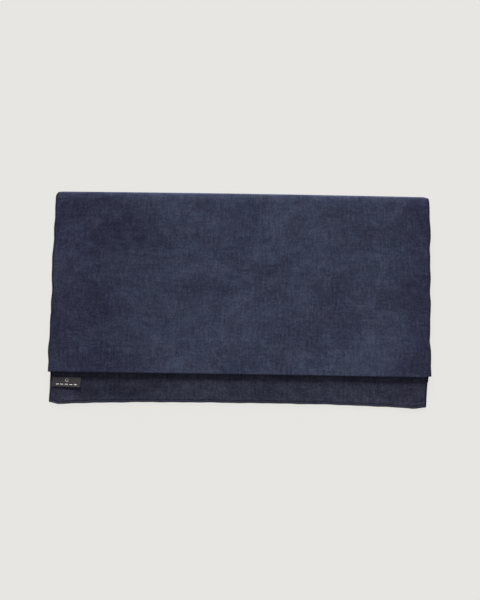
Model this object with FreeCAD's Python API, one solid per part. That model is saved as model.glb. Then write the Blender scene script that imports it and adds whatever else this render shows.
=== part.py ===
"""Travel towel of suede-faced microfibre, folded in half twice and lying flat.

One cloth, hemmed all round with an overlocked edging, makes four layers. From the table up they are
the bottom layer, the label layer, the inner layer and the front layer. Going along the cloth from the
label end, it runs up the label layer, turns over the inner top fold, comes down the inner layer, turns
round the front fold, goes up the front layer, turns over the outer top fold and ends in the bottom layer.

Millimetres. +X runs along the folds, +Y from the label end to the top fold, +Z up from the table.
The origin is the centre of the folded towel's outline, on the table.
The front flap (front layer and inner layer) opens about the top fold. The label lifts about its seam.
"""

import FreeCAD, Part
import math
import os

# ---- driving dimensions -------------------------------------------------------------------------

CLOTH_LENGTH = 1200.0  # cut length, from the label end to the hidden end
CLOTH_WIDTH = 600.0  # cut width, over both side edgings
CLOTH_THICKNESS = 1.2  # suede-faced microfibre, lofted

EDGING_WIDTH = 3.5  # how far the overlocked edging reaches in from the cloth's edge
EDGING_THICKNESS = 1.7  # cloth and thread together
LAYER_GAP = 0.3  # air between the edgings of two layers

STRIP_HEIGHT = 48.0  # how far the label end shows below the front fold
END_TUCK = 39.5  # how much further back the hidden end stops than the label end

TOP_DRAW_IN = 7.0  # how much narrower each side is at the top fold
FRONT_SPREAD = 3.5  # how much wider each side is at the front fold
END_DRAW_IN = 1.5  # how much narrower each side is at the two hemmed ends

LABEL_LENGTH = 45.0  # free length, from the seam to the turned end
LABEL_HEIGHT = 15.5
LABEL_PLY = 0.25  # woven ribbon, folded double
LABEL_PLY_GAP = 0.1
LABEL_LIFT = 0.05  # air under the label
LABEL_FROM_HEM = 26.5  # from the cloth's end to the label's lower side
LABEL_TAIL_LENGTH = 2.8  # how much of the label is caught in the side edging
SEAM_CLEARANCE = 0.3  # from the side edging to the part of the label that lifts

MARK_THREAD = 0.2  # how proud the woven mark stands
MARK_SINK = 0.1  # how deep it is woven in
MARK_RING_RADIUS = 2.6
MARK_RING_BAND = 0.7
MARK_RING_Y = 2.9  # ring's centre above the label's middle
MARK_BAR_COUNT = 5
MARK_BAR_LENGTH = 5.0
MARK_BAR_HEIGHT = 1.8
MARK_BAR_PITCH = 7.2
MARK_BAR_Y = -3.7  # bars' centre below the label's middle
MARK_CLEAR = 2.0  # plain ribbon left between the bars and the label's ends

HINGE_CLEARANCE = 0.15  # from the top fold's outermost line to the flap's hinge line

# ---- heights, worked out from the layers up ------------------------------------------------------

LAYER_PITCH = EDGING_THICKNESS + LAYER_GAP
STACK_HEIGHT = 3 * LAYER_PITCH + EDGING_THICKNESS
Z_MIDDLE = STACK_HEIGHT / 2  # the plane between the label layer and the inner layer

BOTTOM, LABEL, INNER, FRONT = range(4)
FACE_DOWN = {BOTTOM: True, LABEL: False, INNER: True, FRONT: False}  # which way the good face looks


def edging_span(layer):
    """Lowest and highest z of a layer's edging."""
    low = layer * LAYER_PITCH
    return low, low + EDGING_THICKNESS


def cloth_span(layer):
    """Lowest and highest z of a layer's cloth, whose good face is flush with the edging's."""
    low, high = edging_span(layer)
    return (low, low + CLOTH_THICKNESS) if FACE_DOWN[layer] else (high - CLOTH_THICKNESS, high)


# A fold is a ring about a line along X: its outer radius, and its cloth's and edging's inner radii.
OUTER_RADIUS = Z_MIDDLE
INNER_RADIUS = {
    "cloth": LAYER_GAP / 2 + CLOTH_THICKNESS,
    "edging": LAYER_GAP / 2 + EDGING_THICKNESS,
}
INNER_BORE = LAYER_GAP / 2
FRONT_RADIUS = (EDGING_THICKNESS * 2 + LAYER_GAP) / 2
Z_FRONT_FOLD = edging_span(INNER)[0] + FRONT_RADIUS

# ---- places along Y, worked out from the cloth's length ------------------------------------------

outer_fold_arc = math.pi * (OUTER_RADIUS - CLOTH_THICKNESS / 2)
inner_fold_arc = math.pi * (INNER_BORE + CLOTH_THICKNESS / 2)
front_fold_arc = math.pi * (FRONT_RADIUS - CLOTH_THICKNESS / 2)
folds_length = outer_fold_arc + inner_fold_arc + front_fold_arc

# The four layers and the three folds together use up the whole cloth.
FRONT_HEIGHT = (
    CLOTH_LENGTH
    - folds_length
    - 2 * STRIP_HEIGHT
    + END_TUCK
    + 4 * OUTER_RADIUS
    + 2 * FRONT_RADIUS
) / 4
LABEL_REACH = FRONT_HEIGHT + STRIP_HEIGHT
HIDDEN_REACH = LABEL_REACH - END_TUCK

Y_TIP = LABEL_REACH / 2  # the top fold's outermost line
Y_TOP = Y_TIP - OUTER_RADIUS  # where the layers meet the top folds
Y_FRONT = Y_TIP - FRONT_HEIGHT + FRONT_RADIUS  # where the flap's layers meet the front fold
Y_LABEL_END = Y_TIP - LABEL_REACH
Y_HIDDEN_END = Y_TIP - HIDDEN_REACH

HALF_TOP = CLOTH_WIDTH / 2 - TOP_DRAW_IN
HALF_FRONT = CLOTH_WIDTH / 2 + FRONT_SPREAD
HALF_END = CLOTH_WIDTH / 2 - END_DRAW_IN

# Each layer: the y and the half width at its lower end. Its upper end is at Y_TOP and HALF_TOP.
LAYER_FOOT = {
    BOTTOM: (Y_HIDDEN_END, HALF_END),
    LABEL: (Y_LABEL_END, HALF_END),
    INNER: (Y_FRONT, HALF_FRONT),
    FRONT: (Y_FRONT, HALF_FRONT),
}
LAYER_NAME = {
    BOTTOM: "bottom_layer",
    LABEL: "label_layer",
    INNER: "inner_layer",
    FRONT: "front_layer",
}
HEMMED = (BOTTOM, LABEL)  # the layers that end in a hem, not a fold
SIDES = {"left": -1, "right": 1}


def half_width(layer, y):
    """Half the width of a layer at y: its sides are straight."""
    y_foot, half_foot = LAYER_FOOT[layer]
    share = (y - y_foot) / (Y_TOP - y_foot)
    return half_foot + share * (HALF_TOP - half_foot)


# ---- shapes -------------------------------------------------------------------------------------


def prism(outline, z_low, z_high):
    """A straight solid on a closed outline of (x, y) points."""
    points = [FreeCAD.Vector(x, y, z_low) for x, y in outline]
    face = Part.Face(Part.makePolygon(points + points[:1]))
    return face.extrude(FreeCAD.Vector(0, 0, z_high - z_low))


def box(x_low, x_high, y_low, y_high, z_low, z_high):
    """A box between two corners."""
    size = (x_high - x_low, y_high - y_low, z_high - z_low)
    return Part.makeBox(*size, FreeCAD.Vector(x_low, y_low, z_low))


def ring(x_low, x_high, y, z, radius, bore):
    """A tube along X."""
    start, along = FreeCAD.Vector(x_low, y, z), FreeCAD.Vector(1, 0, 0)
    tube = Part.makeCylinder(radius, x_high - x_low, start, along)
    return tube.cut(Part.makeCylinder(bore, x_high - x_low, start, along))


def layer_cloth(layer):
    """The cloth of one layer, inside its edgings."""
    y_low = LAYER_FOOT[layer][0] + (EDGING_WIDTH if layer in HEMMED else 0)
    low, high = half_width(layer, y_low) - EDGING_WIDTH, HALF_TOP - EDGING_WIDTH
    outline = [(-low, y_low), (low, y_low), (high, Y_TOP), (-high, Y_TOP)]
    return prism(outline, *cloth_span(layer))


def side_edging(layer, side):
    """The overlocked edging along one side of a layer."""
    y_low = LAYER_FOOT[layer][0] + (EDGING_WIDTH if layer in HEMMED else 0)
    low = half_width(layer, y_low)
    outline = [
        (side * low, y_low),
        (side * (low - EDGING_WIDTH), y_low),
        (side * (HALF_TOP - EDGING_WIDTH), Y_TOP),
        (side * HALF_TOP, Y_TOP),
    ]
    return prism(outline, *edging_span(layer))


def end_edging(layer):
    """The overlocked edging across a hemmed end, corner to corner."""
    y_low = LAYER_FOOT[layer][0]
    y_high = y_low + EDGING_WIDTH
    low, high = half_width(layer, y_low), half_width(layer, y_high)
    outline = [(-low, y_low), (low, y_low), (high, y_high), (-high, y_high)]
    return prism(outline, *edging_span(layer))


def fold(x_low, x_high, place, kind):
    """One stretch along X of a fold, of kind cloth or edging."""
    thickness = CLOTH_THICKNESS if kind == "cloth" else EDGING_THICKNESS
    if place == "front_fold":
        tube = ring(x_low, x_high, Y_FRONT, Z_FRONT_FOLD, FRONT_RADIUS, FRONT_RADIUS - thickness)
        y_span = (Y_FRONT - FRONT_RADIUS, Y_FRONT)
        z_span = (Z_FRONT_FOLD - FRONT_RADIUS, Z_FRONT_FOLD + FRONT_RADIUS)
    else:
        if place.startswith("top_fold_outer"):
            radius, bore = OUTER_RADIUS, OUTER_RADIUS - thickness
        else:
            radius, bore = INNER_RADIUS[kind], INNER_BORE
        tube = ring(x_low, x_high, Y_TOP, Z_MIDDLE, radius, bore)
        y_span = (Y_TOP, Y_TOP + radius)
        # The flap parts from the base in the middle of the fold, with the layers' own gap.
        if place.endswith("lower"):
            z_span = (Z_MIDDLE - radius, Z_MIDDLE - LAYER_GAP / 2)
        else:
            z_span = (Z_MIDDLE + LAYER_GAP / 2, Z_MIDDLE + radius)
    return tube.common(box(x_low, x_high, *y_span, *z_span))


FOLDS = (
    "front_fold",
    "top_fold_outer_lower",
    "top_fold_outer_upper",
    "top_fold_inner_lower",
    "top_fold_inner_upper",
)


def fold_half_width(place):
    """Half the cloth's width over a fold."""
    return HALF_FRONT if place == "front_fold" else HALF_TOP


def fold_cloth(place):
    """The cloth that turns over a fold."""
    half = fold_half_width(place) - EDGING_WIDTH
    return fold(-half, half, place, "cloth")


def fold_edging(place, side):
    """The edging that turns over a fold at one side."""
    half = fold_half_width(place)
    x_low, x_high = sorted((side * half, side * (half - EDGING_WIDTH)))
    return fold(x_low, x_high, place, "edging")


# ---- label --------------------------------------------------------------------------------------

label_y_low = Y_LABEL_END + LABEL_FROM_HEM
label_y_high = label_y_low + LABEL_HEIGHT
label_y_middle = (label_y_low + label_y_high) / 2
# The side edging slants, so the label keeps its clearance at the end where the edging stands in most.
label_x_seam = SEAM_CLEARANCE + EDGING_WIDTH - half_width(LABEL, label_y_high)
label_x_free = label_x_seam + LABEL_LENGTH
label_thickness = 2 * LABEL_PLY + LABEL_PLY_GAP
label_z_low = cloth_span(LABEL)[1] + LABEL_LIFT
label_z_high = label_z_low + label_thickness


def label_tail():
    """The end of the label that the side edging holds, flush with the edging's face."""
    top = edging_span(LABEL)[1]
    low, high = (half_width(LABEL, y) - EDGING_WIDTH for y in (label_y_low, label_y_high))
    outline = [
        (-low, label_y_low),
        (-high, label_y_high),
        (-high - LABEL_TAIL_LENGTH, label_y_high),
        (-low - LABEL_TAIL_LENGTH, label_y_low),
    ]
    return prism(outline, top - label_thickness, top)


def label_ribbon():
    """The free part of the label: two plies of one ribbon, joined by a round turn at the free end."""
    turn = label_thickness / 2
    x_turn = label_x_free - turn
    z_turn = label_z_low + turn
    plies = box(label_x_seam, x_turn, label_y_low, label_y_high, label_z_low, label_z_high)
    end = Part.makeCylinder(
        turn, LABEL_HEIGHT, FreeCAD.Vector(x_turn, label_y_low, z_turn), FreeCAD.Vector(0, 1, 0)
    )
    slot = box(
        label_x_seam,
        x_turn,
        label_y_low,
        label_y_high,
        label_z_low + LABEL_PLY,
        label_z_high - LABEL_PLY,
    )
    return plies.fuse(end).removeSplitter().cut(slot)


def mark_ring():
    """The ring of the woven mark."""
    base = FreeCAD.Vector((label_x_seam + label_x_free) / 2, label_y_middle + MARK_RING_Y, 0)
    base.z = label_z_high - MARK_SINK
    disc = Part.makeCylinder(MARK_RING_RADIUS, MARK_SINK + MARK_THREAD, base)
    return disc.cut(
        Part.makeCylinder(MARK_RING_RADIUS - MARK_RING_BAND, MARK_SINK + MARK_THREAD, base)
    )


def mark_bars():
    """The row of small blocks under the ring, as many as the label has room for."""
    x_middle = (label_x_seam + label_x_free) / 2
    room = LABEL_LENGTH - 2 * MARK_CLEAR - MARK_BAR_LENGTH
    count = min(MARK_BAR_COUNT, int(room / MARK_BAR_PITCH) + 1)
    y_low = label_y_middle + MARK_BAR_Y - MARK_BAR_HEIGHT / 2
    bars = []
    for i in range(count):
        x = x_middle + (i - (count - 1) / 2) * MARK_BAR_PITCH
        bars.append(
            box(
                x - MARK_BAR_LENGTH / 2,
                x + MARK_BAR_LENGTH / 2,
                y_low,
                y_low + MARK_BAR_HEIGHT,
                label_z_high - MARK_SINK,
                label_z_high + MARK_THREAD,
            )
        )
    return bars


# ---- the towel, node by node ----------------------------------------------------------------------


def make_nodes():
    """Every node's name and its shape."""
    nodes = {}
    for layer, name in LAYER_NAME.items():
        nodes["cloth_" + name] = layer_cloth(layer)
        for side, sign in SIDES.items():
            nodes[f"edging_{side}_{name}"] = side_edging(layer, sign)
        if layer in HEMMED:
            nodes["edging_end_" + name] = end_edging(layer)
    for place in FOLDS:
        nodes["cloth_" + place] = fold_cloth(place)
        for side, sign in SIDES.items():
            nodes[f"edging_{side}_{place}"] = fold_edging(place, sign)

    tail = label_tail()
    held = "edging_left_" + LAYER_NAME[LABEL]
    nodes[held] = nodes[held].cut(tail)
    mark = Part.makeCompound([mark_ring(), *mark_bars()])
    nodes["label_tail"] = tail
    nodes["label_mark"] = mark
    nodes["label_ribbon"] = label_ribbon().cut(mark)
    return nodes


def main():
    os.makedirs("parts", exist_ok=True)
    nodes = make_nodes()
    for name, shape in nodes.items():
        if not shape.isValid() or not shape.Solids:
            raise ValueError(name + " isn't a valid solid")
        shape.exportStep("parts/" + name + ".step")
    print(len(nodes), "nodes")
    print(f"front {FRONT_HEIGHT:.2f}, label end {LABEL_REACH:.2f}, hidden end {HIDDEN_REACH:.2f} high")
    print(f"top fold tip at y {Y_TIP:.3f}, front fold tip at y {Y_FRONT - FRONT_RADIUS:.3f}")
    print(f"flap hinge at y {Y_TIP + HINGE_CLEARANCE:.3f}, z {Z_MIDDLE:.3f}")
    print(f"label hinge at x {label_x_seam:.3f}, z {label_z_high:.3f}")


main()
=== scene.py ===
# %% [markdown]
# # A folded travel towel
# The real object is one suede-faced microfibre cloth, folded in half twice and pressed flat. Its edges are
# overlocked, and a small woven label is caught in one side seam.
# A flat fold could be simulated, but there is no drape to find in it: what matters is that four layers of
# cloth lie on each other without crossing, and that every thread stays on its own stretch of cloth. So this
# lesson writes one function, `place`, that folds flat cloth coordinates into space. Every piece goes
# through it.

# %% Load the frame
import math

import bpy
import numpy as np
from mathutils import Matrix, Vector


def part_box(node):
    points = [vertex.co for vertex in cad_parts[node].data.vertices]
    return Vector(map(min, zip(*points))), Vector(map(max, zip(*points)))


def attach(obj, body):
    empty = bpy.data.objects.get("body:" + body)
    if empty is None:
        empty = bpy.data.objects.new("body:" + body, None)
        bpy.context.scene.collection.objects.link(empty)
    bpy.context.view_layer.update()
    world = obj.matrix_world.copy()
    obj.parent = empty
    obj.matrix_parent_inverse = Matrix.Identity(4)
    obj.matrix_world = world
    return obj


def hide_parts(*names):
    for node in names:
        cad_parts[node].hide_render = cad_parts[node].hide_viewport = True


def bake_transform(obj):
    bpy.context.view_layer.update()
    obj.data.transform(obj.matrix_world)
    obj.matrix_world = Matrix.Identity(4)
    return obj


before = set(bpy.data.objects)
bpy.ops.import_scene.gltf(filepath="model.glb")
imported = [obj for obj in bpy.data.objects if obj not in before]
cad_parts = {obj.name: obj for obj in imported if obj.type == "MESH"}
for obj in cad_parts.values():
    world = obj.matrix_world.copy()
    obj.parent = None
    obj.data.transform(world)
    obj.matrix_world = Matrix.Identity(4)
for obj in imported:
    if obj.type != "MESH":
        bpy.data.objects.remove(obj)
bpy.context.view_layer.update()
MM = 0.001

# %% [markdown]
# ## Sizes
# The frame already knows how high each layer lies, where the folds are and how wide the cloth is there.
# Reading them from the nodes' boxes keeps the cloth inside the model.

# %% Read the layers and folds
LAYERS = ("label", "inner", "front", "bottom")  # in the order that the cloth runs through them
layer_boxes = [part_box("cloth_" + name + "_layer") for name in LAYERS]
layer_z = [(low.z + high.z) / 2 for low, high in layer_boxes]
y_top = layer_boxes[0][1].y
y_front = layer_boxes[1][0].y
hem_low, hem_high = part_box("edging_end_label_layer")
tuck_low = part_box("edging_end_bottom_layer")[0]
y_fold_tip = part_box("cloth_front_fold")[0].y
y_hem, y_tuck = hem_low.y, tuck_low.y
cloth_thickness = layer_boxes[0][1].z - layer_boxes[0][0].z
edging_width = hem_high.y - hem_low.y
edging_thickness = hem_high.z - hem_low.z
top_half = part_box("edging_right_top_fold_outer_upper")[1].x
front_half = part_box("edging_right_front_fold")[1].x
hem_half = hem_high.x

# %% [markdown]
# ## The folded line
# Seen from the side, the cloth is a line of straight runs joined by half turns. A half turn between two
# runs has the radius of half their distance, so it meets both without a corner. The line is stored as
# seven stretches, and a point on it is found from its distance along the cloth.

# %% The stretches of the folded line
run_ends = [(y_hem, y_top), (y_top, y_front), (y_front, y_top), (y_top, y_tuck)]
stretches = []  # start y, start z, way along y, way along z, radius of the turn, length
for i, (y_from, y_to) in enumerate(run_ends):
    way = math.copysign(1, y_to - y_from)
    stretches.append((y_from, layer_z[i], way, 0.0, 1.0, abs(y_to - y_from)))
    if i < len(run_ends) - 1:
        rise = layer_z[i + 1] - layer_z[i]
        radius = abs(rise) / 2
        stretches.append((y_to, layer_z[i], way, math.copysign(1, rise), radius, math.pi * radius))
stretches = np.array(stretches)
knots = np.concatenate([[0.0], np.cumsum(stretches[:, 5])])
cloth_length = knots[-1]
TURNS = (1, 3, 5)  # which stretches are half turns
inner_turn, front_turn, outer_turn = [(knots[k] + knots[k + 1]) / 2 for k in TURNS]
print(f"the line is {cloth_length / MM:.1f} mm long, with {len(stretches)} stretches")


def folded_line(s):
    """Where the cloth's middle is at a distance s along it, and which way its good face looks.

    On a run, y goes on at the run's way and z stays. On a half turn of radius r, the angle is the distance
    into it over r, y goes out by r sin(angle) and z rises by r (1 - cos(angle)). The good face looks along
    the direction of travel turned a quarter to the left.
    """
    k = np.clip(np.searchsorted(knots, s, side="right") - 1, 0, len(stretches) - 1)
    y, z, way, rise, radius, _ = np.moveaxis(stretches[k], -1, 0)
    along = s - knots[k]
    angle = np.where(rise == 0, 0, along / radius)
    y = y + way * np.where(rise == 0, along, radius * np.sin(angle))
    z = z + rise * radius * (1 - np.cos(angle))
    return y, z, -rise * np.sin(angle), way * np.cos(angle)


# %% [markdown]
# ## From flat cloth to folded cloth
# Real cloth isn't a drawing: its overlocked sides ripple, its fold corners are pulled in, the hem bows and
# the loose end sags to the table. Each of these is a small smooth shift added in one place, so that the
# cloth, the threads and the label all get the same ones.
#
# Dents only lower the front layer, by less than the air gap under its cloth, and sag only lowers the loose
# label end. So the cloth's layers can't cross, and the flap stays on its own side of the parting plane.

# %% Helpers for smooth shifts
CUT_HALF = 300 * MM  # half of the cloth's width before folding


def fade(x):
    """1 at x = 0, falling to 0 at x = 1 and staying there: 1 - x squared times (3 - 2 x)."""
    x = np.clip(x, 0, 1)
    return 1 - x * x * (3 - 2 * x)


def bump(x):
    """1 at x = 0 and nearly 0 past 2, both ways: exp(-x squared)."""
    return np.exp(-x * x)


def ripple(t, lengths, seed):
    """The mean of sine waves along t, of the given wavelengths, with phases drawn from the seed."""
    phases = np.random.default_rng(seed).uniform(0, 2 * math.pi, len(lengths))
    return sum(np.sin(2 * math.pi * t / length + p) for length, p in zip(lengths, phases)) / len(lengths)


print("fade at a half:", float(fade(0.5)))

# %% The cloth's half width and its wavy sides
SIDE_WAVES = (38 * MM, 67 * MM, 118 * MM, 190 * MM)
SIDE_WAVE_HEIGHT = 1.7 * MM
CALM = 0.25  # the share of the waves that the flat label end keeps
LABEL_END_REACH = 60 * MM
LEFT, RIGHT = 0, 1
SIDE_SEEDS = (11, 4)
HEM_EASE = (0.3 * MM, 0.9 * MM)  # how much wider than the plain model each side is, by fold: left, right
TOP_EASE = (0.8 * MM, 4.6 * MM)
FRONT_EASE = (-1.3 * MM, 0.2 * MM)
CORNER_PULL = (3.6 * MM, 1.0 * MM)  # how far the top folds' corners come in
CORNER_LENGTH = 4.5 * MM


def half_width(s, right):
    """Half the cloth's width at s: straight between the folds, plus a ripple, less the pull at each fold."""
    plain = np.array([hem_half, top_half, top_half, front_half, front_half, top_half, top_half, hem_half])
    calm = CALM + (1 - CALM) * (1 - fade(s / LABEL_END_REACH - 1))
    sides = []
    for side, seed in enumerate(SIDE_SEEDS):
        hem, top, front = HEM_EASE[side], TOP_EASE[side], FRONT_EASE[side]
        half = np.interp(s, knots, plain + np.array([hem, top, top, front, front, top, top, hem]))
        half = half + SIDE_WAVE_HEIGHT * calm * ripple(s, SIDE_WAVES, seed)
        for turn in (inner_turn, outer_turn):
            half = half - CORNER_PULL[side] * bump((s - turn) / CORNER_LENGTH)
        sides.append(half)
    return np.where(right, sides[RIGHT], sides[LEFT])


print(f"half width at the front fold {float(half_width(front_turn, True)) / MM:.1f} mm")

# %% The bow of the hem and the roundness of corners
HEM_DROP = 3.0 * MM  # how much lower the loose hem lies than in the plain model
HEM_TURN = 0.6 * MM  # how much more its left end drops than its middle
HEM_BOW = 6.5 * MM  # how much higher the middle of the hem lies than its corners
TOP_BOW = 1.1 * MM
TOP_DROP = 0.4 * MM  # how much lower the top folds lie than in the plain model
FRONT_BOW = 0.6 * MM
END_WAVES = (31 * MM, 58 * MM, 97 * MM)
END_WAVE_HEIGHT = 0.45 * MM
END_WAVE_REACH = 50 * MM
END_SEEDS = (7, 8)  # of the label end's and the hidden end's ripples
BOW_REACH = 150 * MM
HEM_RISE = (4.0 * MM, 3.0 * MM)  # how far the hem turns up at its left and right corners
RISE_REACH = (17 * MM, 24 * MM)
FRONT_RISE = (0.6 * MM, 2.2 * MM)  # how far the front fold turns up at its corners
FRONT_RISE_REACH = 14 * MM
CORNER_DROP = (0.5 * MM, 1.7 * MM)  # how far the top folds' corners round down
CORNER_ROUND = 3 * MM  # how far from a corner its rounding starts
CORNER_CUT = 0.5 * MM
HEM_LEAN = -1.7 * MM
LEAN_REACH = 60 * MM


def shifts(u, s):
    """How far the cloth lies sideways and up the towel from where the straight fold would put it.

    The hem bows by 1 - |share| cubed of the width, the folds by 1 - share squared. Corners come in by
    the square of the product of both distances into the corner. The hem also leans a little to one side,
    it and the front fold turn up at their corners, the top folds' corners round down, and both ends ripple.
    """
    share = u / CUT_HALF
    to_side = CUT_HALF - np.abs(u)
    from_hem, from_tuck = s, cloth_length - s
    y = HEM_BOW * (1 - np.abs(share) ** 3) - HEM_DROP + HEM_TURN * share
    y = y * fade(from_hem / BOW_REACH)
    reach = np.where(u > 0, RISE_REACH[RIGHT], RISE_REACH[LEFT])
    rise = np.where(u > 0, HEM_RISE[RIGHT], HEM_RISE[LEFT])
    y = y + rise * fade(to_side / reach) * fade(from_hem / (2 * reach))
    rise = np.where(u > 0, FRONT_RISE[RIGHT], FRONT_RISE[LEFT])
    y = y + rise * fade(to_side / FRONT_RISE_REACH) * fade(np.abs(s - front_turn) / (2 * FRONT_RISE_REACH))
    for seed, from_end in zip(END_SEEDS, (from_hem, from_tuck)):
        y = y + END_WAVE_HEIGHT * ripple(u, END_WAVES, seed) * fade(from_end / END_WAVE_REACH)
    y = y + FRONT_BOW * (1 - share**2) * fade(np.abs(s - front_turn) / BOW_REACH)
    drop = np.where(u > 0, CORNER_DROP[RIGHT], CORNER_DROP[LEFT])
    for turn in (inner_turn, outer_turn):
        y = y + (TOP_BOW * (1 - share**2) - TOP_DROP) * fade(np.abs(s - turn) / BOW_REACH)
        y = y - drop * bump((s - turn) / CORNER_LENGTH) * bump(to_side / CORNER_LENGTH)
    x = HEM_LEAN * fade(from_hem / LEAN_REACH)
    for from_end in (from_hem, from_tuck):
        into = np.clip(1 - to_side / CORNER_ROUND, 0, 1) * np.clip(1 - from_end / CORNER_ROUND, 0, 1)
        x = x - np.sign(u) * CORNER_CUT * into**2
        y = y + CORNER_CUT * into**2
    return x, y


print("shift at the hem's middle:", [round(float(v) / MM, 2) for v in shifts(0.0, 0.0)], "mm")

# %% Dents, sag and the fold-everything function
PRESSED = 0.8 * MM  # how far the front layer is pressed down at the top fold
PRESS_REACH = 4 * MM
SWELL = 0.12 * MM  # the depth of broad soft waves in the front layer
SWELL_WAVES = ((83 * MM, 21), (131 * MM, 22), (211 * MM, 23))  # each with its seed
EDGE_DENT = 0.25 * MM  # the depth of ripples along the front layer's overlocked sides
EDGE_REACH = 16 * MM
EDGE_SEED = 31
HEM_FLUTTER = 0.4 * MM
FLUTTER_SEED = 41


def dent(x, y, z):
    """How far the cloth at (x, y, z) dips towards the air gap between the inner and front layers.

    The dip is the press at the top fold, exp(-distance over its reach), plus broad waves along three
    slanting directions, plus ripples near the sides. It counts fully on the front layer, not at all on the
    inner one, and in proportion to height between them.
    """
    share = np.clip((z - layer_z[1]) / (layer_z[2] - layer_z[1]), 0, 1)
    waves = 0
    for length, seed in SWELL_WAVES:
        turn = np.random.default_rng(seed).uniform(0, math.pi)
        waves = waves + ripple(x * math.cos(turn) + y * math.sin(turn), (length,), seed) / len(SWELL_WAVES)
    side = EDGE_DENT * np.abs(ripple(y, SIDE_WAVES[:3], EDGE_SEED))
    side = side * bump((front_half - np.abs(x)) / EDGE_REACH)
    pressed = PRESSED * np.exp(-np.maximum(y_top - y, 0) / PRESS_REACH)
    return share * (pressed + SWELL * (1 + waves) / 2 + side)


def sag(x, y):
    """How far the loose label end drops past the hidden end below it: a smooth step down to the table."""
    down = 1 - fade((y_tuck - y) / (y_tuck - y_hem))
    flutter = HEM_FLUTTER * (1 + ripple(x, END_WAVES, FLUTTER_SEED)) * down
    return np.maximum(hem_low.z * down - flutter, 0)


def press(y):
    """Squares off the front fold, which then stays level further and turns down sharply.

    Past the end of the flat, a share w of the way to the tip goes to 2 w - w squared.
    """
    reach = y_front - y_fold_tip
    share = np.maximum(y_front - y, 0) / reach
    pressed = np.where(share < 1, share * (2 - share), share)
    return np.where(share > 0, y_front - reach * pressed, y)


def place(u, s, h):
    """Folds the cloth: u across it from the middle, s along it from the label end, h out of its good face.

    The folded line gives y, z and the way out of the good face, along which h is added. Half widths scale
    u, shifts are added, and dents and sag are taken off the height.
    """
    u, s, h = np.broadcast_arrays(u, s, h)
    y, z, out_y, out_z = folded_line(s)
    shift_x, shift_y = shifts(u, s)
    x = u / CUT_HALF * half_width(s, u > 0) + shift_x
    z = z - dent(x, y, z) - np.where(s < knots[1], sag(x, y + shift_y), 0)
    return np.stack([x, press(y + h * out_y) + shift_y, z + h * out_z], -1)


print("front fold's tip:", np.round(place(0.0, front_turn, 0.0) / MM, 2), "mm")

# %% [markdown]
# ## Grids into meshes
# Every new piece is a grid of points, or many equal grids. One helper numbers their faces, one closes the
# ends of a flat skin, and one makes the object and turns its faces outwards. It tells inside from outside by
# the volume under the faces, which comes out negative when they look inwards.

# %% Helpers that make a mesh from grids


def grid_faces(rows, columns, wrap):
    """The four corners of each face of a grid numbered row by row.

    With wrap, the last column joins the first.
    """
    i = np.arange(rows - 1)[:, None]
    j = np.arange(columns if wrap else columns - 1)[None, :]
    k = (j + 1) % columns
    corners = (i * columns + j, i * columns + k, (i + 1) * columns + k, (i + 1) * columns + j)
    return np.stack(corners, -1).reshape(-1, 4)


def strip_ends(rows, half):
    """Quads across the first and last loops of a flat skin, which has half of each loop on each face."""
    j = np.arange(half - 1)
    quads = np.stack([j + 1, j, 2 * half - 1 - j, 2 * half - 2 - j], -1)
    return np.concatenate([quads, quads[:, ::-1] + (rows - 1) * 2 * half])


def volume_of(points, quads):
    """The volume inside closed quads: a sixth of a . (b x c) over the two triangles of each."""
    a, b, c, d = (points[quads[:, k]] for k in range(4))
    return float(np.sum(a * np.cross(b, c)) + np.sum(a * np.cross(c, d))) / 6


def make_piece(name, points, quads, ends, marks, materials, used=0):
    """A smooth mesh object with outward faces and a UV map called weave. used is each face's material."""
    if volume_of(points - points.mean(0), quads) < 0:
        quads = quads[:, ::-1]
        ends = [tuple(reversed(end)) for end in ends]
    mesh = bpy.data.meshes.new(name)
    mesh.from_pydata(points.tolist(), [], quads.tolist() + [list(end) for end in ends])
    layer = mesh.uv_layers.new(name="weave")
    corner_vertex = np.zeros(len(mesh.loops), np.int32)
    mesh.loops.foreach_get("vertex_index", corner_vertex)
    layer.uv.foreach_set("vector", marks[corner_vertex].astype(np.float32).ravel())
    mesh.shade_smooth()
    for material in materials:
        mesh.materials.append(material)
    chosen = np.broadcast_to(np.asarray(used, np.int32), len(mesh.polygons))
    mesh.polygons.foreach_set("material_index", np.ascontiguousarray(chosen))
    mesh.validate()
    piece = bpy.data.objects.new(name, mesh)
    bpy.context.scene.collection.objects.link(piece)
    print(f"{name}: {len(points)} points, {len(quads)} faces")
    return piece


print("a grid of 3 by 4 points has", len(grid_faces(3, 4, wrap=False)), "faces")

# %% [markdown]
# ## Materials
# Suede microfibre is a dense, very short nap. It looks soft because the fibres catch grazing light, which
# is what sheen does, and blotchy because the nap leans different ways where it was touched. So the colour
# is a stack of noises, from hand-sized patches down to single tufts, read from the flat cloth coordinates
# that each piece carries in its UV map. That way the pattern turns round the folds with the cloth.

# %% Helpers for node materials


def new_node(tree, kind, values=None, **settings):
    """A node with its settings. Each input named gets a value, or a link from another node's output."""
    node = tree.nodes.new("ShaderNode" + kind)
    for name, value in settings.items():
        setattr(node, name, value)
    for slot, value in (values or {}).items():
        if isinstance(value, bpy.types.NodeSocket):
            tree.links.new(value, node.inputs[slot])
        else:
            node.inputs[slot].default_value = value
    return node


def start_material(name, color, roughness, specular, sheen=0.0, sheen_tint=(1, 1, 1)):
    """A material with its fixed values set on the shader, its node tree and its shader."""
    material = bpy.data.materials.new(name)
    material.use_nodes = True
    shader = material.node_tree.nodes["Principled BSDF"]
    shader.inputs["Base Color"].default_value = (*color, 1)
    shader.inputs["Roughness"].default_value = roughness
    shader.inputs["Specular IOR Level"].default_value = specular
    shader.inputs["Sheen Weight"].default_value = sheen
    shader.inputs["Sheen Roughness"].default_value = 0.45
    shader.inputs["Sheen Tint"].default_value = (*sheen_tint, 1)
    return material, material.node_tree, shader


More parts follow.
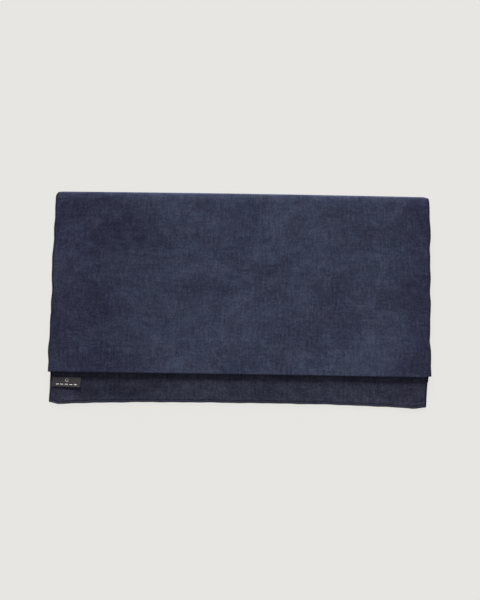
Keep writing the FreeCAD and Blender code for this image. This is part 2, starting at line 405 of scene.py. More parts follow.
def weave_coordinates(tree, stretch=(1, 1, 1), turn=0.0):
    """The piece's flat coordinates, in metres, stretched and turned."""
    flat = new_node(tree, "UVMap", uv_map="weave").outputs["UV"]
    values = {"Vector": flat, "Scale": stretch, "Rotation": (0, 0, turn)}
    return new_node(tree, "Mapping", values).outputs["Vector"]


def noise(tree, vector, size, detail=2.0, roughness=0.5, distortion=0.0, output="Fac"):
    """Noise whose patches are about size metres wide."""
    values = {"Vector": vector, "Scale": 1 / size, "Detail": detail, "Roughness": roughness}
    return new_node(tree, "TexNoise", {**values, "Distortion": distortion}).outputs[output]


def math_node(tree, operation, *values, clamp=False):
    """A Math node. Each value is a number or another node's output."""
    node = new_node(tree, "Math", dict(enumerate(values)), operation=operation, use_clamp=clamp)
    return node.outputs[0]


def weighted_sum(tree, parts):
    """The sum of (noise - a half) times its weight over the parts, plus a half, kept from 0 to 1."""
    total = 0.5
    for value, weight in parts:
        centred = math_node(tree, "SUBTRACT", value, 0.5)
        total = math_node(tree, "MULTIPLY_ADD", centred, weight, total)
    return math_node(tree, "MINIMUM", math_node(tree, "MAXIMUM", total, 0.0), 1.0)


def color_ramp(tree, factor, stops):
    """A colour ramp through (place, colour) stops."""
    node = new_node(tree, "ValToRGB", {"Fac": factor})
    elements = node.color_ramp.elements
    while len(elements) < len(stops):
        elements.new(0.5)
    for element, (at, color) in zip(elements, stops):
        element.position = at
        element.color = (*color, 1)
    return node.outputs["Color"]


def add_bump(tree, shader, height, distance, strength):
    """Tilts the surface by a height pattern, distance metres deep."""
    node = new_node(tree, "Bump", {"Height": height, "Distance": distance, "Strength": strength})
    tree.links.new(node.outputs["Normal"], shader.inputs["Normal"])


print("material helpers ready")

# %% Suede cloth
NAVY_DEEP = (0.0170, 0.0182, 0.0346)
NAVY = (0.0337, 0.0385, 0.0666)
NAVY_PALE = (0.0613, 0.0709, 0.1140)
LABEL_END_PAINTED_SHADE_TINT = (1.11, 1.02, 0.94, 1)  # the label end lies partly in the front fold's shadow and is painted greyer: a painted shade colour
# Painted shade: SIDE_SHADE paints the cloth darker towards its left and right sides, and LABEL_END_SHADE
# darker towards the label end's left.
SIDE_SHADE = 0.20
LEFT_SHADE = (-235 * MM, -110 * MM)  # where the painted shade on the left side ends: from, to
RIGHT_SHADE = (296 * MM, 205 * MM)
LABEL_END_SHADE = (-165 * MM, 10 * MM)  # the same for the label end, whose right side isn't darker
LABEL_END_FADE = (60 * MM, 200 * MM)  # where along the cloth the label end's looks give way
FOLD_SHADE = ((front_turn, 0.06, 80 * MM), (outer_turn, 0.015, 90 * MM))  # paler nap: place, amount, reach
FOLD_CORE = 0.3  # the share of the reach that is paler in full
SHADE_BALANCE = 0.8  # the share of SIDE_SHADE that is taken off everywhere
SIDE_TINT = (1, 0.95, 1, 1)  # the nap near the sides is a touch more purple
LEFT_TINT = (-300 * MM, -190 * MM)
RIGHT_TINT = (300 * MM, 235 * MM)
DYE_DRIFT = (0.40, 0.0, 0.30)  # how far red and blue wander


def ease(tree, value, start, end):
    """0 before start, 1 past end, and a smooth step between them."""
    values = {"Value": value, "From Min": start, "From Max": end}
    return new_node(tree, "MapRange", values, interpolation_type="SMOOTHSTEP").outputs["Result"]


def both(tree, *factors):
    """The factors' product."""
    return math_node(tree, "MULTIPLY", *factors)


def less(tree, factor):
    """1 - factor."""
    return math_node(tree, "SUBTRACT", 1.0, factor)


def tinted(tree, color, tint, factor=1.0):
    """The colour times the tint, as far as the factor says."""
    values = {0: factor, 6: color, 7: tint}
    return new_node(tree, "Mix", values, data_type="RGBA", blend_type="MULTIPLY").outputs[2]


def dye_drift(tree, vector, size):
    """A tint that wanders: the three channels of a noise, each times its drift, about 1."""
    color = noise(tree, vector, size, detail=6.0, roughness=0.85, output="Color")
    values = {0: color, 1: DYE_DRIFT, 2: [1 - drift / 2 for drift in DYE_DRIFT]}
    return new_node(tree, "VectorMath", values, operation="MULTIPLY_ADD").outputs[0]


def make_suede():
    """Navy nap: patches of leaning fibres, cloudy wear, fine streaks along the knit and single tufts.

    The sides are painted a little darker, a painted shade, and are more purple. The cloth by the folds is
    paler, and the label end is painted greyer, a painted shade colour. The dye drifts a little.
    """
    material, tree, shader = start_material(
        "navy_suede_cloth", NAVY, roughness=0.92, sheen=0.08, sheen_tint=(0.5, 0.6, 0.9), specular=0.0
    )
    flat = weave_coordinates(tree)
    wales = weave_coordinates(tree, stretch=(1.0, 0.14, 1.0))
    courses = weave_coordinates(tree, stretch=(0.14, 1.0, 1.0))
    brushed = weave_coordinates(tree, stretch=(0.85, 1.1, 1.0), turn=math.radians(12))
    wear = noise(tree, brushed, 95 * MM, detail=7, roughness=0.9, distortion=0.5)
    clouds = noise(tree, brushed, 17 * MM, detail=2, roughness=0.85, distortion=0.9)
    streaks = noise(tree, wales, 3.6 * MM, detail=2, roughness=0.8)
    rungs = noise(tree, courses, 4.4 * MM, detail=2, roughness=0.8)
    tufts = noise(tree, flat, 3.2 * MM, detail=3, roughness=0.9)
    parts = [(wear, 1.9), (clouds, 0.45), (streaks, 0.85), (rungs, 0.6), (tufts, 1.75)]
    shade = weighted_sum(tree, parts)
    across, along, _ = new_node(tree, "SeparateXYZ", {"Vector": flat}).outputs
    towel_body = ease(tree, along, *LABEL_END_FADE)
    label_end = less(tree, towel_body)
    label_side = math_node(tree, "MAXIMUM", ease(tree, across, *LABEL_END_SHADE), towel_body)
    from_left = math_node(tree, "MINIMUM", ease(tree, across, *LEFT_SHADE), label_side)
    from_right = math_node(tree, "MAXIMUM", ease(tree, across, *RIGHT_SHADE), label_end)
    middle = both(tree, from_left, from_right)
    # painted shade: the middle is lifted here and all is lowered below, so the sides come out darker
    shade = math_node(tree, "MULTIPLY_ADD", middle, SIDE_SHADE, shade)
    for fold, amount, reach in FOLD_SHADE:
        away = math_node(tree, "ABSOLUTE", math_node(tree, "SUBTRACT", along, fold))
        near = less(tree, ease(tree, away, FOLD_CORE * reach, reach))
        shade = math_node(tree, "MULTIPLY_ADD", both(tree, near, middle), amount, shade)
    shade = math_node(tree, "SUBTRACT", shade, SHADE_BALANCE * SIDE_SHADE, clamp=True)
    color = color_ramp(tree, shade, [(0.0, NAVY_DEEP), (0.5, NAVY), (1.0, NAVY_PALE)])
    # painted shade colour on the label end
    color = tinted(tree, color, LABEL_END_PAINTED_SHADE_TINT, label_end)
    inside = [ease(tree, across, *span) for span in (LEFT_TINT, RIGHT_TINT)]
    color = tinted(tree, color, SIDE_TINT, less(tree, both(tree, *inside)))
    color = tinted(tree, color, dye_drift(tree, flat, 32 * MM))
    tree.links.new(color, shader.inputs["Base Color"])
    nap = noise(tree, flat, 0.9 * MM, detail=3, roughness=0.65)
    height = weighted_sum(tree, [(nap, 0.8), (tufts, 0.4), (clouds, 0.15)])
    add_bump(tree, shader, height, distance=0.35 * MM, strength=0.8)
    return material


suede = make_suede()
print("suede:", len(suede.node_tree.nodes), "nodes")

# %% [markdown]
# Overlock thread is bulked: its plies are soft and loosely twisted, so that they fill the edge. The twist
# could be modelled ply by ply, but at this size stripes that slant round each thread show it as well.

# %% Overlock thread
# The side seams' looper thread is painted darker than the cloth: painted shade for the shadowed side edges.
SHADED_LOOPER_DARK = (0.0155, 0.0138, 0.0262)
SHADED_LOOPER_PALE = (0.0335, 0.0300, 0.0545)
# The hem's looper thread is painted paler than the side loopers': a painted highlight for the hem's lit rim.
LIT_HEM_DARK = (0.034, 0.035, 0.060)
LIT_HEM_PALE = (0.060, 0.062, 0.102)
# The needle thread is painted paler than the side loopers: a painted highlight along the seam's inner ridge.
LIT_NEEDLE_DARK = (0.030, 0.034, 0.060)
LIT_NEEDLE_PALE = (0.055, 0.060, 0.095)
PLY_PITCH = 0.4 * math.pi * MM  # about 1.26 mm


def band_scale(pitch):
    """The Scale that sets a Wave texture's bands this far apart: it has 20 radians for each unit."""
    return 2 * math.pi / (20 * pitch)


def make_thread(name, dark, pale, ply_pitch=PLY_PITCH):
    """Bulked thread: plies wind round it, so the pattern is stripes that slant along and round it."""
    material, tree, shader = start_material(
        name, dark, roughness=0.8, sheen=0.1, sheen_tint=(0.7, 0.75, 0.9), specular=0.05
    )
    along = weave_coordinates(tree, turn=math.radians(35))
    values = {"Vector": along, "Scale": band_scale(ply_pitch), "Distortion": 2.0, "Detail": 2.0}
    wave = new_node(tree, "TexWave", values)
    fuzz = noise(tree, weave_coordinates(tree), 1.2 * MM, detail=3)
    shade = weighted_sum(tree, [(wave.outputs["Fac"], 0.6), (fuzz, 0.9)])
    color = color_ramp(tree, shade, [(0.1, dark), (0.9, pale)])
    tree.links.new(color, shader.inputs["Base Color"])
    add_bump(tree, shader, shade, distance=0.12 * MM, strength=0.7)
    return material


side_looper_painted_shade = make_thread("side_looper_thread_painted_shade", SHADED_LOOPER_DARK, SHADED_LOOPER_PALE)
hem_looper_painted_highlight = make_thread("hem_looper_thread_painted_highlight", LIT_HEM_DARK, LIT_HEM_PALE)
needle_painted_highlight = make_thread("needle_thread_painted_highlight", LIT_NEEDLE_DARK, LIT_NEEDLE_PALE)
print("thread:", len(side_looper_painted_shade.node_tree.nodes), "nodes")

# %% [markdown]
# ## The cloth
# The cloth is one closed skin. At each distance along it there is a loop: the good face from left to right,
# then the back from right to left. A sheet with a Solidify modifier would be shorter to write, but the real
# cloth thins under the overlocking, which squeezes it, and rounds off at its very edge. Points are close
# together at the borders and folds and further apart on the flat.

# %% The cloth's cross-section
cloth_half = cloth_thickness / 2
edging_offset = (cloth_thickness - edging_thickness) / 2  # the edging's middle, from the cloth's middle
SQUEEZED_HALF = 0.48 * MM
EDGE_ROUND = 0.7 * MM
EDGE_FALL = 0.94  # a little short of 1, so that the very edge isn't a knife
SEAM_EASE = 1.4 * MM
WELT = 0.15 * MM  # how far the loose label end puffs up just inside its edging
WELT_FROM_EDGE = 5.4 * MM
WELT_HALF = 1.3 * MM
WELT_END = (25 * MM, 14 * MM)  # how far along the cloth it lasts, and how long it takes to fade


def cross_section(to_edge):
    """The middle and half the thickness of the cloth at a distance from its nearest edge.

    Under the edging both take the squeezed values, and ease back under its inner border. At the edge itself,
    half the thickness is nearly a quarter circle's height, so that the edge is round.
    """
    squeezed = fade((to_edge - edging_width) / SEAM_EASE + 0.5)
    middle = edging_offset * squeezed
    half = cloth_half + (SQUEEZED_HALF - cloth_half) * squeezed
    into = np.clip(1 - to_edge / EDGE_ROUND, 0, 1)
    return middle, half * np.sqrt(1 - EDGE_FALL * into**2)


sample = np.array([0, 0.3, 2, 9]) * MM
print("half thickness in from the edge:", np.round(cross_section(sample)[1] / MM, 2), "mm")

# %% Rows and columns of the cloth's grid
BORDER_STEPS = np.array([0, 0.1, 0.3, 0.7, 1.6, 2.6, 3.3, 4.0, 4.9, 6.4, 9.0]) * MM
COLUMN_STEP = 5.6 * MM
LAYER_STEPS = (5.2 * MM, 6.5 * MM, 5.2 * MM, 8 * MM)  # between the rows of each layer
NEAR_TURN = np.array([1, 2.5, 5]) * MM  # how far from a half turn its first rows on the flat are
FLAT_START = 8 * MM  # how far from it the evenly spaced rows start
TURN_ROWS = 17
TURN_CROWDING = 1.5


def spaced(start, end, step):
    """Evenly spaced values from start to end, about a step apart."""
    return np.linspace(start, end, max(2, round(abs(end - start) / step) + 1))


def turn_rows(k):
    """Rows over the half turn k, closest together at its tip, where the flap parts from the base."""
    share = np.linspace(-1, 1, TURN_ROWS)
    crowded = np.sign(share) * np.abs(share) ** TURN_CROWDING
    return (knots[k] + knots[k + 1]) / 2 + (knots[k + 1] - knots[k]) / 2 * crowded


def in_order(parts):
    """All the values of the parts in rising order, each once."""
    return np.unique(np.round(np.concatenate(parts), 7))


near_end = BORDER_STEPS[-1]
row_parts = [BORDER_STEPS, cloth_length - BORDER_STEPS]
for layer, step in enumerate(LAYER_STEPS):
    start, end = knots[2 * layer] + FLAT_START, knots[2 * layer + 1] - FLAT_START
    if layer == 0:
        start = near_end
    if layer == len(LAYERS) - 1:
        end = cloth_length - near_end
    row_parts.append(spaced(start, end, step))
for k in TURNS:
    row_parts += [knots[k] - NEAR_TURN, turn_rows(k), knots[k + 1] + NEAR_TURN]
cloth_rows = in_order(row_parts)
inner_columns = spaced(-CUT_HALF + near_end, CUT_HALF - near_end, COLUMN_STEP)
cloth_columns = in_order([BORDER_STEPS - CUT_HALF, inner_columns, CUT_HALF - BORDER_STEPS])
print(len(cloth_rows), "rows by", len(cloth_columns), "columns on each face")

# %% Build the cloth


def build_cloth():
    """The whole cloth: a loop of good face and back at each row, closed across at both ends."""
    u = np.concatenate([cloth_columns, cloth_columns[::-1]])[None, :]
    side = np.repeat([1.0, -1.0], len(cloth_columns))[None, :]
    s = cloth_rows[:, None]
    to_edge = np.minimum(CUT_HALF - np.abs(u), np.minimum(s, cloth_length - s))
    middle, half = cross_section(to_edge)
    welt = WELT * bump((to_edge - WELT_FROM_EDGE) / WELT_HALF) * fade((s - WELT_END[0]) / WELT_END[1])
    points = place(u, s, middle + side * half + np.where(side > 0, welt, 0)).reshape(-1, 3)
    marks = np.stack(np.broadcast_arrays(u, s), -1).reshape(-1, 2)
    rows, columns = len(cloth_rows), u.shape[1]
    quads = np.concatenate([grid_faces(rows, columns, wrap=True), strip_ends(rows, len(cloth_columns))])
    return make_piece("towel_cloth", points, quads, [], marks, [suede])


cloth = build_cloth()

# %% [markdown]
# ## The overlocked edges
# A three-thread overlock has a looper thread on each face that runs from the edge to the needle line and
# back, once a stitch, and a needle thread that pins both along the inner line. The two loopers lock into
# each other round the raw edge. A plain bar with a bumpy material would look like tape from low down, so
# each thread is a tube carried along its own path, worked out in seam coordinates: in from the edge, along
# it, and out of the good face.

# %% A tube along a path in seam coordinates
THREAD_SIDES = 6
STITCH = 2.3 * MM
LOOPER_RADII = (0.36 * MM, 0.16 * MM)  # half its width on the cloth, and half its height
NEEDLE_RADII = (0.20 * MM, 0.15 * MM)


def unit(vectors):
    """Each vector over its length."""
    return vectors / np.linalg.norm(vectors, axis=-1, keepdims=True)


def distance_along(path):
    """How far each point of a path is from its first, along it."""
    return np.concatenate([[0], np.cumsum(np.linalg.norm(np.diff(path, axis=0), axis=1))])


def tube(path, radii):
    """Rings round a path of (in, along, out) points.

    Each is a point, plus the first radius times cos across the path on the cloth, plus the second radius
    times sin out of the cloth.
    """
    travel = unit(np.gradient(path, axis=0))
    across = unit(np.cross([0.0, 0.0, 1.0], travel))
    out = np.cross(travel, across)
    turn = np.arange(THREAD_SIDES) * 2 * math.pi / THREAD_SIDES
    ring = radii[0] * np.cos(turn)[None, :, None] * across[:, None]
    return path[:, None] + ring + radii[1] * np.sin(turn)[None, :, None] * out[:, None]


def tube_marks(path, radii):
    """Flat coordinates for a tube: round it and along it, in metres."""
    around = np.arange(THREAD_SIDES) * 2 * math.pi * radii[0] / THREAD_SIDES
    return np.stack(np.broadcast_arrays(around[None, :], distance_along(path)[:, None]), -1)


def tube_caps(count):
    """The first ring, turned round, and the last ring of a tube of count points."""
    ring = np.arange(THREAD_SIDES)
    return np.array([ring[::-1], ring + count - THREAD_SIDES])


print("a stitch is", STITCH / MM, "mm long")

# %% The paths of the looper and needle threads
LOOPER_STEPS = 10  # points on a looper thread for each stitch
NEEDLE_STEPS = 6
edging_half = edging_thickness / 2
LOOPER_SHARPNESS = 0.93
LOOPER_SLACK = 0.03  # how much one stitch differs from the next
LOOPER_SLANT = 0.13  # how much the two ways of a zigzag differ in slant
LOOPER_OUT = 0.1 * MM  # how far a looper reaches past the cloth's edge
LOOPER_SINK = 0.02 * MM  # how far its top stays inside the edging's face
EDGE_WRAP = 0.75 * MM
NEEDLE_INSET = 0.25 * MM
NEEDLE_SWAY = 0.12 * MM
NEEDLE_DOME = 0.9  # how deep a stitch's ends dive, in half heights


def looper_path(start, end, face, seed):
    """A looper thread from start to end along the seam, on the good face (face 1) or the back (face -1).

    Its way in from the edge is a rounded zigzag, asin(k cos) over asin(k). Its height is a quarter circle
    from the edge's middle up to the face, over the wrap's reach. Each stitch is a little unlike the last.
    """
    count = int((end - start) / STITCH)
    t = np.linspace(0, count, count * LOOPER_STEPS + 1)
    rng = np.random.default_rng(seed)
    slack = np.interp(t, np.arange(count + 1), rng.normal(0, 1, count + 1))
    zigzag = np.arcsin(LOOPER_SHARPNESS * np.cos(2 * math.pi * t)) / math.asin(LOOPER_SHARPNESS)
    inward = edging_width * (0.5 - 0.5 * zigzag) * (1 - LOOPER_SLACK + LOOPER_SLACK * slack) - LOOPER_OUT
    along = start + STITCH * (t + LOOPER_SLANT * np.sin(4 * math.pi * t) * face + LOOPER_SLACK * slack)
    into = np.clip(1 - inward / EDGE_WRAP, 0, 1)
    height = (edging_half - LOOPER_RADII[1] - LOOPER_SINK) * np.sqrt(np.clip(1 - into**2, 0, 1))
    return np.stack([inward, along, edging_offset + face * height], -1)


def needle_path(start, end):
    """The needle thread on the good face: a line of domed stitches over the loopers' inner turns."""
    count = int((end - start) / STITCH)
    t = np.linspace(0, count, count * NEEDLE_STEPS + 1)
    dome = np.abs(np.sin(math.pi * t))
    inward = edging_width - NEEDLE_INSET + NEEDLE_SWAY * np.sin(2 * math.pi * t)
    height = cloth_half - NEEDLE_RADII[1] * (1 + NEEDLE_DOME * (1 - dome))
    return np.stack([inward, start + STITCH * t, height], -1)


print("looper points on a side seam:", len(looper_path(0, cloth_length, 1, 1)))

# %% Sew the four edges
SEAM_INSET = 1.2 * MM  # from the cloth's corner to the first stitch


def onto_side(sign):
    """Seam coordinates to cloth coordinates on the left (-1) or right (1) side."""
    return lambda p: (sign * (CUT_HALF - p[..., 0]), p[..., 1], p[..., 2])


def onto_end(at_hem):
    """Seam coordinates to cloth coordinates on the label end, or on the hidden end."""
    return lambda p: (p[..., 1], p[..., 0] if at_hem else cloth_length - p[..., 0], p[..., 2])


def sew(name, start, end, to_cloth, looper, seed):
    """One overlocked edge: both looper threads and the needle thread as closed tubes in one piece."""
    threads = [
        (looper_path(start, end, 1, seed), LOOPER_RADII),
        (looper_path(start + STITCH / 2, end, -1, seed + 1), LOOPER_RADII),
        (needle_path(start, end), NEEDLE_RADII),
    ]
    points, quads, ends, marks, first = [], [], [], [], 0
    used, ends_used = [], []
    for kind, (path, radii) in zip((0, 0, 1), threads):
        rings = tube(path, radii)
        folded = place(*to_cloth(rings)).reshape(-1, 3)
        faces = grid_faces(len(path), THREAD_SIDES, wrap=True)
        points.append(folded)
        quads.append(faces + first)
        ends += (tube_caps(len(folded)) + first).tolist()
        marks.append(tube_marks(path, radii).reshape(-1, 2))
        used.append(np.full(len(faces), kind))
        ends_used += [kind, kind]
        first += len(folded)
    points, quads, marks = np.concatenate(points), np.concatenate(quads), np.concatenate(marks)
    used = np.concatenate([*used, ends_used])
    return make_piece(name, points, quads, ends, marks, [looper, needle_painted_highlight], used)


side_span = (SEAM_INSET, cloth_length - SEAM_INSET)
end_span = (SEAM_INSET - CUT_HALF, CUT_HALF - SEAM_INSET)
overlock_left = sew("overlock_left", *side_span, onto_side(-1), side_looper_painted_shade, seed=51)
overlock_right = sew("overlock_right", *side_span, onto_side(1), side_looper_painted_shade, seed=61)
overlock_hem = sew("overlock_label_end", *end_span, onto_end(True), hem_looper_painted_highlight, seed=71)
overlock_tuck = sew("overlock_hidden_end", *end_span, onto_end(False), hem_looper_painted_highlight, seed=81)

# %% [markdown]
# ## The label
# The label is a woven ribbon folded double, with both ends caught in the side seam. Its loop is one ribbon
# seen edge on: out along the lower ply, round the turn, back along the upper ply. It lies on the same
# folded cloth, a little askew, and its free end lifts off the nap.

# %% The label's size and lie
ribbon_low, ribbon_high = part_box("label_ribbon")
mark_low, mark_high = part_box("label_mark")
label_length = ribbon_high.x - ribbon_low.x
label_width = ribbon_high.y - ribbon_low.y
LABEL_SHIFT = 1.4 * MM  # up the towel, because the bowed hem carries the label down with it
label_s = (ribbon_low.y + ribbon_high.y) / 2 - y_hem + LABEL_SHIFT
LABEL_START = 0.6 * MM  # past the edging, where the label comes out from under the threads
label_u = -CUT_HALF + edging_width + LABEL_START
LABEL_TAIL = 3.4 * MM
PLY = 0.24 * MM
PLY_GAP = 0.12 * MM
RIBBON_CLEAR = 0.04 * MM  # between the cloth and the lower ply
LABEL_TILT = math.radians(-4.1)
TAIL_DIP = 0.85 * MM  # how far the plies dive, to pass under the overlock threads
TAIL_EASE = (0.9 * MM, 1.5 * MM)  # where the dive starts, and over what length
LABEL_CURL = 0.9 * MM
print(f"label {label_length / MM:.1f} by {label_width / MM:.1f} mm")


def on_label(p, q, r):
    """Label coordinates to space: p out from the seam, q up the label, r above the cloth.

    The label turns about the middle of its seam by its tilt, and rises by the square of p towards its
    free end, more at its lower corner.
    """
    turned_p = p * math.cos(LABEL_TILT) - q * math.sin(LABEL_TILT)
    turned_q = p * math.sin(LABEL_TILT) + q * math.cos(LABEL_TILT)
    out = np.clip(p / label_length, 0, 1)
    rise = LABEL_CURL * out**2 * (1 - 0.5 * q / label_width)
    return place(label_u + turned_p, label_s + turned_q, cloth_half + r + rise)


# %% [markdown]
# The ribbon is a plain weave, finer than a mesh should carry. Two crossed waves give its threads, as colour
# and as bump.

# %% Label ribbon material
LABEL_DARK = (0.041, 0.037, 0.041)
LABEL_GREY = (0.100, 0.091, 0.101)


def make_ribbon():
    """Charcoal woven ribbon: warp and weft threads cross as two fine waves, with uneven yarn between."""
    material, tree, shader = start_material(
        "charcoal_woven_ribbon",
        LABEL_GREY,
        roughness=0.75,
        sheen=0.08,
        sheen_tint=(0.8, 0.78, 0.76),
        specular=0.06,
    )
    flat = weave_coordinates(tree)
    threads = []
    for direction, pitch in (("X", 0.42 * MM), ("Y", 0.30 * MM)):
        values = {"Vector": flat, "Scale": band_scale(pitch), "Distortion": 0.3}
        threads.append(new_node(tree, "TexWave", values, bands_direction=direction).outputs["Fac"])
    weave = math_node(tree, "MULTIPLY", *threads)
    slub = noise(tree, flat, 2.2 * MM, detail=3)
    shade = weighted_sum(tree, [(weave, 0.5), (slub, 0.9)])
    color = color_ramp(tree, shade, [(0.15, LABEL_DARK), (0.85, LABEL_GREY)])
    tree.links.new(color, shader.inputs["Base Color"])
    add_bump(tree, shader, weave, distance=0.1 * MM, strength=0.8)
    return material


ribbon_material = make_ribbon()
print("ribbon:", len(ribbon_material.node_tree.nodes), "nodes")

# %% Build the label ribbon
LABEL_ROWS = 44
LABEL_COLUMNS = 30
LABEL_TURN_ROWS = 7


def ribbon_line():
    """The middle line of the folded ribbon as (out, above) points: lower ply, half turn, upper ply."""
    turn_radius = (PLY + PLY_GAP) / 2
    low = PLY / 2 + RIBBON_CLEAR
    out = np.linspace(-LABEL_TAIL, label_length - turn_radius, LABEL_ROWS)
    angle = np.linspace(-math.pi / 2, math.pi / 2, LABEL_TURN_ROWS + 2)[1:-1]
    turn = np.stack([out[-1] + turn_radius * np.cos(angle), low + turn_radius * (1 + np.sin(angle))], -1)
    lower = np.stack([out, np.full_like(out, low)], -1)
    upper = np.stack([out[::-1], np.full_like(out, low + 2 * turn_radius)], -1)
    return np.concatenate([lower, turn, upper])


def build_ribbon():
    """The ribbon line given its thickness and its width up the label, thinner at both selvedges."""
    line = ribbon_line()
    travel = unit(np.gradient(line, axis=0))
    across = np.stack([travel[:, 1], -travel[:, 0]], -1)
    q = np.linspace(-label_width / 2, label_width / 2, LABEL_COLUMNS)
    loop_q = np.concatenate([q, q[::-1]])
    side = np.repeat([1.0, -1.0], LABEL_COLUMNS) * PLY / 2
    side[[0, LABEL_COLUMNS - 1, LABEL_COLUMNS, -1]] *= 0.5
    p = line[:, None, 0] + side[None, :] * across[:, None, 0]
    r = line[:, None, 1] + side[None, :] * across[:, None, 1]
    tail = 1 - fade((TAIL_EASE[0] - p) / TAIL_EASE[1])
    points = on_label(p, loop_q[None, :], r - TAIL_DIP * tail).reshape(-1, 3)
    marks = np.stack(np.broadcast_arrays(distance_along(line)[:, None], loop_q[None, :]), -1).reshape(-1, 2)
    quads = np.concatenate([grid_faces(*p.shape, wrap=True), strip_ends(len(line), LABEL_COLUMNS)])
    return make_piece("label_woven_ribbon", points, quads, [], marks, [ribbon_material])


ribbon = build_ribbon()

# %% [markdown]
# ## The mark on the label
# The mark is plain: a ring over a broken line of five dashes, with no lettering. Woven marks are floats of
# pale thread lying side by side, so each shape is filled with short parallel threads, a little proud.

# %% Pale thread
MARK_PALE = (0.62, 0.60, 0.57)
MARK_SHADE = (0.36, 0.35, 0.33)
mark_thread = make_thread("pale_mark_thread", MARK_SHADE, MARK_PALE, ply_pitch=0.75 * PLY_PITCH)
print("mark thread:", len(mark_thread.node_tree.nodes), "nodes")

# %% Lay the floats of the ring and the dashes
FLOAT_PITCH = 0.32 * MM
FLOAT_RADII = (0.17 * MM, 0.09 * MM)
FLOAT_POINTS = 4
FLOAT_SINK = 0.2  # how deep a float's ends sit, in half heights
RING_FLOATS = 44
RING_OUTER = 2.6 * MM
RING_INNER = 1.8 * MM
DASH_COUNT = 5
DASH_PITCH = 7.2 * MM
DASH_LENGTH = 5.0 * MM
DASH_HEIGHT = 1.8 * MM
label_face = RIBBON_CLEAR + 2 * PLY + PLY_GAP  # the upper ply's top, above the cloth
mark_middle = (mark_low.x + mark_high.x) / 2 - ribbon_low.x
label_centre_y = (ribbon_low.y + ribbon_high.y) / 2
ring_q = mark_high.y - RING_OUTER - label_centre_y
dash_q = mark_low.y - label_centre_y


def floats():
    """The two ends of every float, as (out, up) pairs: spokes of the ring, then uprights of the dashes."""
    angle = np.arange(RING_FLOATS) * 2 * math.pi / RING_FLOATS
    spoke = np.stack([np.cos(angle), np.sin(angle)], -1)
    centre = np.array([mark_middle, ring_q])
    ring = np.stack([centre + RING_INNER * spoke, centre + RING_OUTER * spoke], 1)
    dash = (np.arange(DASH_COUNT) - (DASH_COUNT - 1) / 2) * DASH_PITCH
    strands = int(DASH_LENGTH / FLOAT_PITCH)
    strand = (np.arange(strands) - (strands - 1) / 2) * FLOAT_PITCH
    out = (mark_middle + dash[:, None] + strand[None, :]).ravel()
    foot = np.stack([out, np.full_like(out, dash_q)], -1)
    return np.concatenate([ring, np.stack([foot, foot + [0, DASH_HEIGHT]], 1)])


def build_mark():
    """Every float as a short domed tube between its two ends: its height is a sine from end to end."""
    pairs = floats()
    t = np.linspace(0, 1, FLOAT_POINTS)
    turn = np.arange(THREAD_SIDES) * 2 * math.pi / THREAD_SIDES
    along = pairs[:, 1] - pairs[:, 0]
    across = unit(np.stack([-along[:, 1], along[:, 0]], -1))
    centre = pairs[:, None, 0] + t[None, :, None] * along[:, None]
    flat = centre[:, :, None] + FLOAT_RADII[0] * np.cos(turn)[None, None, :, None] * across[:, None, None]
    dome = FLOAT_RADII[1] * (np.sin(math.pi * t) - FLOAT_SINK)
    above = label_face + dome[None, :, None] + FLOAT_RADII[1] * np.sin(turn)[None, None, :]
    above = np.broadcast_to(above, flat.shape[:3])
    points = on_label(flat[..., 0], flat[..., 1], above).reshape(-1, 3)
    step = FLOAT_POINTS * THREAD_SIDES
    first = (np.arange(len(pairs)) * step)[:, None, None]
    quads = (grid_faces(FLOAT_POINTS, THREAD_SIDES, wrap=True)[None] + first).reshape(-1, 4)
    ends = (tube_caps(step)[None] + first).reshape(-1, THREAD_SIDES).tolist()
    return make_piece("label_woven_mark", points, quads, ends, flat.reshape(-1, 2), [mark_thread])


mark = build_mark()

# %% [markdown]
# ## Joining the looks to the moving model
# The cloth and its side threads cross the top fold, where the flap turns on the base, and the label's ribbon
# runs from its seam onto the label. These pieces get their placement baked into their points, and are joined
# to no body here. The end threads lie wholly on the base and are joined to it, and the mark to the label.

# %% Ride, bake and replace
side_threads = {"left": overlock_left, "right": overlock_right}
for piece in (cloth, *side_threads.values()):
    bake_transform(piece)
for piece in (overlock_hem, overlock_tuck):
    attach(piece, "base")
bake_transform(ribbon)
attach(mark, "label")

node_names = sorted(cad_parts)
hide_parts(*[n for n in node_names if n.startswith("cloth_")])
for side, piece in side_threads.items():
    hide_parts(*[n for n in node_names if n.startswith("edging_" + side)])
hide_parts("edging_end_label_layer")
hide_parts("edging_end_bottom_layer")
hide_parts("label_ribbon", "label_tail")
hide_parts("label_mark")
print("replaced", sum(n.hide_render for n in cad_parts.values()), "of", len(node_names), "nodes")

# %% [markdown]
# ## Floor, light and camera
# The towel lies on a plain pale board and is seen from straight above, a little turned. One large soft sun
# stands low beyond the top fold. It grazes the nap, and lays a soft shadow under the front fold. An even
# sky fills the rest. The board glows, like a light table, which is how a studio keeps shadows off it.

# %% Floor
FLOOR_SIZE = 80.0
FLOOR_COLOR = (0.80, 0.79, 0.758)
GLOW_SHARE = 0.94  # how much of the board's brightness is its own


def build_floor():
    """A square of matte board that reflects a share of its colour and glows with the rest."""
    mesh = bpy.data.meshes.new("floor")
    half = FLOOR_SIZE / 2
    corners = [(-half, -half, 0), (half, -half, 0), (half, half, 0), (-half, half, 0)]
    mesh.from_pydata(corners, [], [(0, 1, 2, 3)])
    floor = bpy.data.objects.new("floor", mesh)
    bpy.context.scene.collection.objects.link(floor)
    reflected = [c * (1 - GLOW_SHARE) for c in FLOOR_COLOR]
    material, _, shader = start_material("pale_board", reflected, roughness=0.9, specular=0.0)
    shader.inputs["Emission Color"].default_value = (*FLOOR_COLOR, 1)
    shader.inputs["Emission Strength"].default_value = GLOW_SHARE
    mesh.materials.append(material)
    return floor


build_floor()
print("floor", FLOOR_SIZE, "m wide")

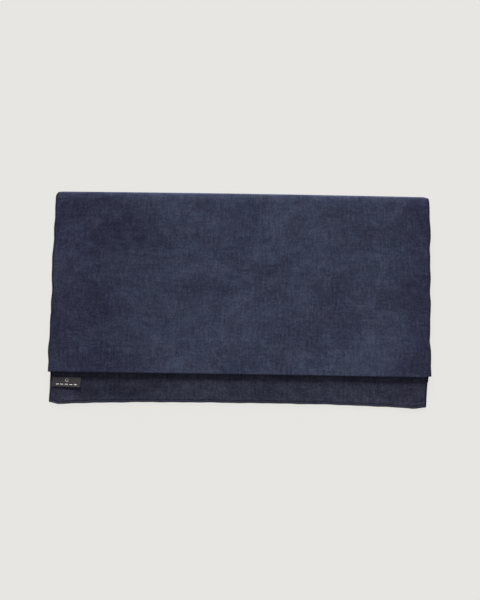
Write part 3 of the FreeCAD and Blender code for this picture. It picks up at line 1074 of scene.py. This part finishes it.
# %% Light
SUN_HEIGHT = math.radians(11)
SUN_SPREAD = math.radians(26)
SUN_TURN = math.radians(4)
SUN_SHARE = 0.71  # of the light that reaches the floor
SKY_SHARE = 0.29


def build_lights():
    """A sun whose light on the floor is strength times the sine of its height over pi, and an even sky.

    The sky's light and the backdrop that the camera sees past the floor's end are set apart, so that the
    backdrop can match the floor.
    """
    sun = bpy.data.lights.new("low_sun", "SUN")
    sun.energy = SUN_SHARE * math.pi / math.sin(SUN_HEIGHT)
    sun.angle = SUN_SPREAD
    lamp = bpy.data.objects.new("low_sun", sun)
    lamp.rotation_euler = (SUN_HEIGHT - math.pi / 2, 0, SUN_TURN)
    bpy.context.scene.collection.objects.link(lamp)
    world = bpy.data.worlds.new("sky")
    bpy.context.scene.world = world
    world.use_nodes = True
    tree = world.node_tree
    sky = tree.nodes["Background"]
    sky.inputs["Color"].default_value = (1, 1, 1, 1)
    sky.inputs["Strength"].default_value = SKY_SHARE
    backdrop = new_node(tree, "Background", {"Color": (*FLOOR_COLOR, 1)})
    seen = new_node(tree, "LightPath").outputs["Is Camera Ray"]
    mix = new_node(tree, "MixShader", {0: seen, 1: sky.outputs[0], 2: backdrop.outputs[0]})
    tree.links.new(mix.outputs[0], tree.nodes["World Output"].inputs["Surface"])


build_lights()
print("sun", round(math.degrees(SUN_HEIGHT)), "degrees high")

# %% Camera
LENS = 85.0
SENSOR = 36.0
VIEW_HEIGHT = 952 * MM  # how much of the floor the picture's long side takes in
VIEW_TURN = math.radians(0.9)
VIEW_SHIFT = -0.5 * MM


def build_camera():
    """Straight down from a distance of view height times lens over sensor, turned about its own axis."""
    camera = bpy.data.cameras.new("camera")
    camera.lens = LENS
    camera.sensor_width = SENSOR
    camera.dof.use_dof = False
    eye = bpy.data.objects.new("camera", camera)
    eye.location = (0, VIEW_SHIFT, VIEW_HEIGHT * LENS / SENSOR)
    eye.rotation_euler = (0, 0, VIEW_TURN)
    bpy.context.scene.collection.objects.link(eye)
    bpy.context.scene.camera = eye


build_camera()
bpy.context.scene.view_settings.view_transform = "Standard"
print("camera", round(bpy.context.scene.camera.location.z, 3), "m up")
